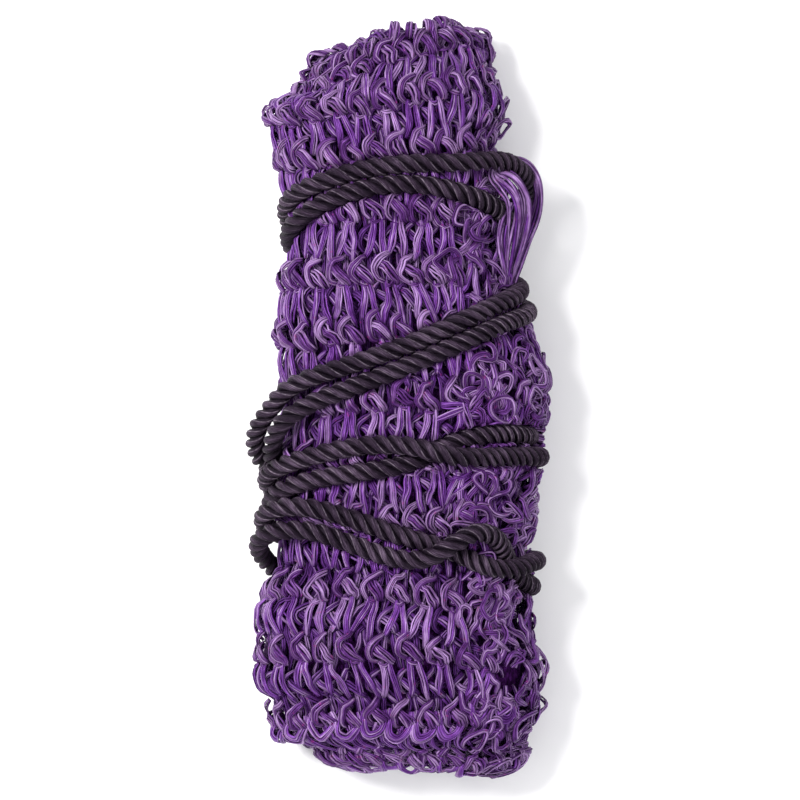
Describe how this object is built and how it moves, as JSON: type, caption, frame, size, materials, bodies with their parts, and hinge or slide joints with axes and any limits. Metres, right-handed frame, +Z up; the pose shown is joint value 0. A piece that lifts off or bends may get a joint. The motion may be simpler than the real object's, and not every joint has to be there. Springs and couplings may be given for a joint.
{
  "type": "hay net",
  "caption": "Rolled-up small-mesh knotted hay net for feeding horses, bound for storage by its own doubled twisted drawcord.",
  "frame": {"origin": "bottom centre of the whole rolled net, on the surface it lies on", "axes": "+X across the roll, towards its bunched side edge; +Y along the roll, towards the mouth end; +Z up, out of the face where all the cord's turns show"},
  "size_m": [0.1348, 0.323, 0.0691],
  "materials": {
    "purple_net_twine": "glossy split-film polyethylene twine",
    "purple_net_twine_inner": "the same twine, in the shade of the roll",
    "purple_gather_twine": "glossy split-film polyethylene twine",
    "black_twisted_cord": "satin three-strand polypropylene cord"
  },
  "bodies": {
    "root": {"net_outer_leaf": "purple_net_twine", "net_middle_leaf": "purple_net_twine_inner", "net_inner_leaf": "purple_net_twine_inner", "mouth_gather": "purple_gather_twine", "drawcord": "black_twisted_cord"}
  },
  "joints": []
}
